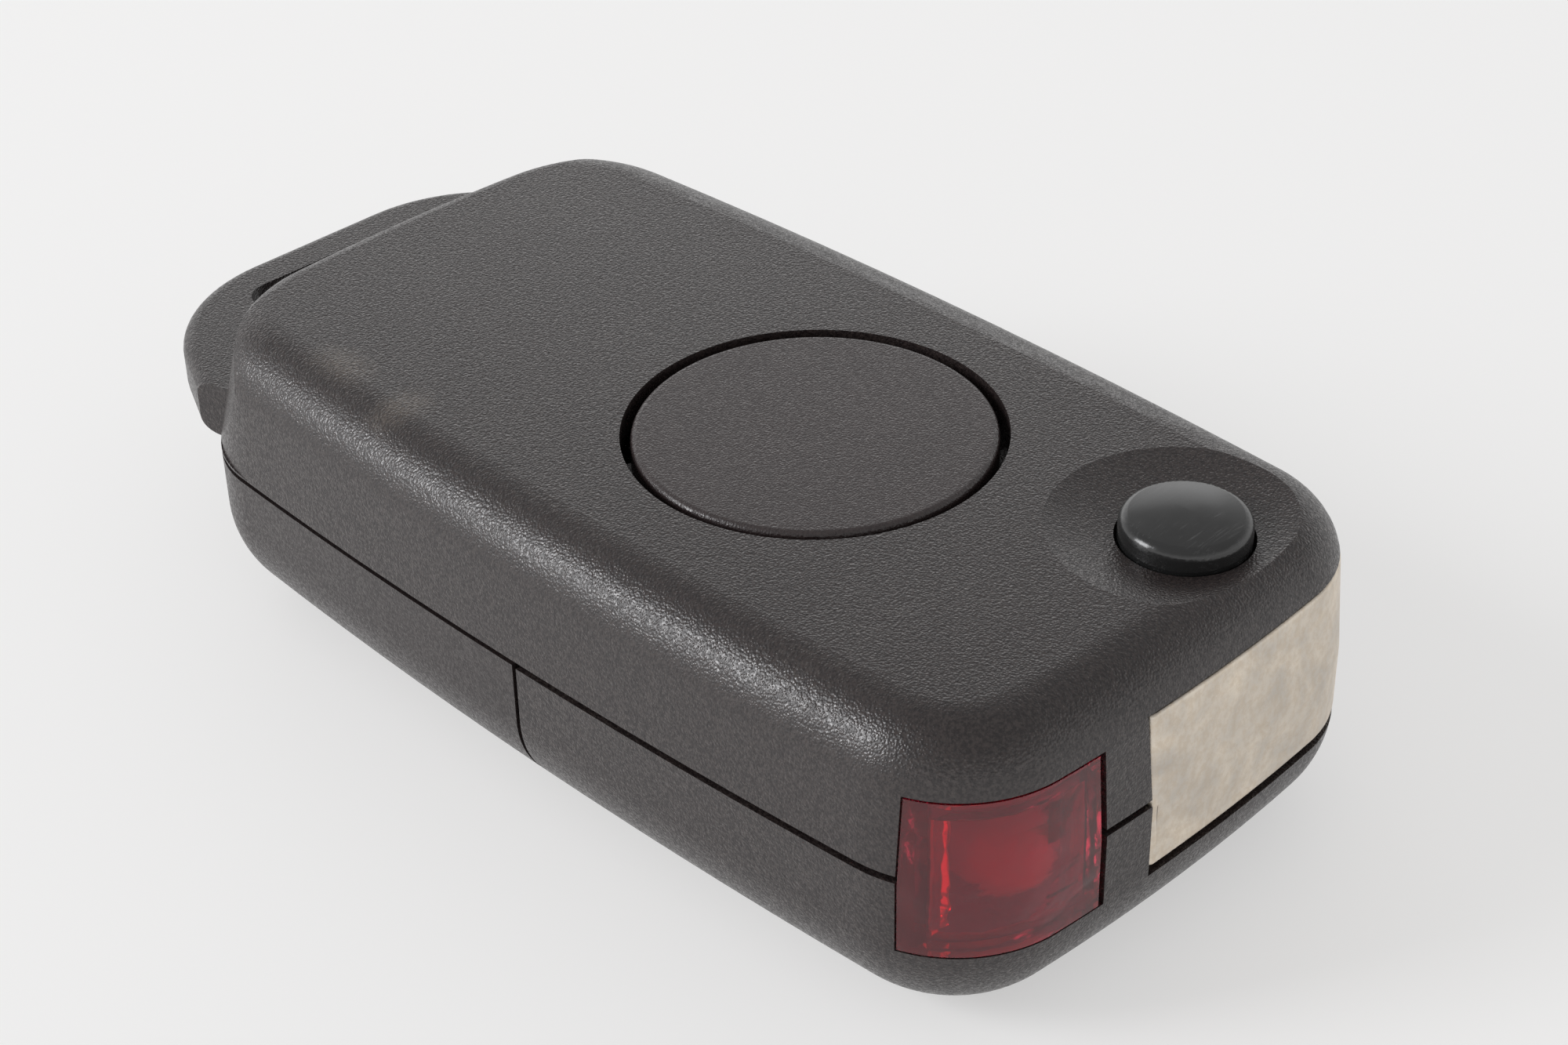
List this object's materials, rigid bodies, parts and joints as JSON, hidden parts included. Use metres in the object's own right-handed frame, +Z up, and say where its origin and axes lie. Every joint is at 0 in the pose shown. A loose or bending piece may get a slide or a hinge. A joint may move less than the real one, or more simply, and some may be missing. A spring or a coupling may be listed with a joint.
{
  "type": "remote key fob",
  "caption": "Infrared remote key fob with a flip-out key, round push button, corner window, key-ring bail and sliding battery cover.",
  "frame": {"origin": "under the middle of the housing's outline, on the flat face that it rests on", "axes": "+X towards the nose with the window and the key head, +Y towards the folded blade, +Z up through the buttons"},
  "size_m": [0.0707, 0.035, 0.0192],
  "materials": {
    "housing_plastic": "fine grain, lightly dusted",
    "cover_plastic": "fine satin",
    "button_plastic": "smooth matte",
    "release_plastic": "gloss",
    "window_plastic": "clear deep red",
    "head_metal": "cloudy brushed nickel silver",
    "blade_steel": "milled",
    "spring_steel": "drawn",
    "board_laminate": "solder mask",
    "tinned_metal": "tinned",
    "chip_plastic": "moulded",
    "switch_plastic": "moulded",
    "diode_plastic": "clear",
    "resonator_plastic": "dipped",
    "capacitor_can": "satin",
    "cell_steel": "satin",
    "tray_plastic": "moulded"
  },
  "bodies": {
    "housing": {"upper_housing": "housing_plastic", "lower_housing": "housing_plastic", "lens": "window_plastic", "pivot_pin": "spring_steel", "circuit_board": "board_laminate", "board_screws": "spring_steel", "switch_base": "chip_plastic", "infrared_led": "diode_plastic", "led_leads": "tinned_metal", "control_chip": "chip_plastic", "chip_leads": "tinned_metal", "resonator": "resonator_plastic", "capacitor": "capacitor_can", "transistor": "chip_plastic", "resistors": "chip_plastic", "lower_cell": "cell_steel", "upper_cell": "cell_steel", "battery_tray": "tray_plastic", "negative_contact": "tinned_metal", "positive_contact": "tinned_metal", "flip_spring": "spring_steel"},
    "battery_cover": {"battery_cover": "cover_plastic"},
    "main_button": {"main_button": "button_plastic", "switch_plunger": "switch_plastic"},
    "key": {"key_head": "head_metal", "key_blade": "blade_steel", "blade_pin": "spring_steel", "release_spring": "spring_steel"},
    "release_button": {"release_button": "release_plastic"}
  },
  "joints": [
    {"name": "key_flip", "type": "hinge", "parent": "housing", "child": "key", "pos_m": [0.0247, 0.00674, 0], "axis": [0, 0, -1], "range_deg": [0, 180], "deforming": ["flip_spring"]},
    {"name": "release_press", "type": "slide", "parent": "key", "child": "release_button", "axis": [0, 0, -1], "range_m": [0, 0.002], "stiffness_N_per_m": 500, "springref_m": -0.002, "deforming": ["release_spring"]},
    {"name": "button_press", "type": "slide", "parent": "housing", "child": "main_button", "axis": [0, 0, -1], "range_m": [0, 0.0005], "stiffness_N_per_m": 2500, "springref_m": -0.0002},
    {"name": "cover_slide", "type": "slide", "parent": "housing", "child": "battery_cover", "axis": [-1, 0, 0], "range_m": [0, 0.034]}
  ]
}
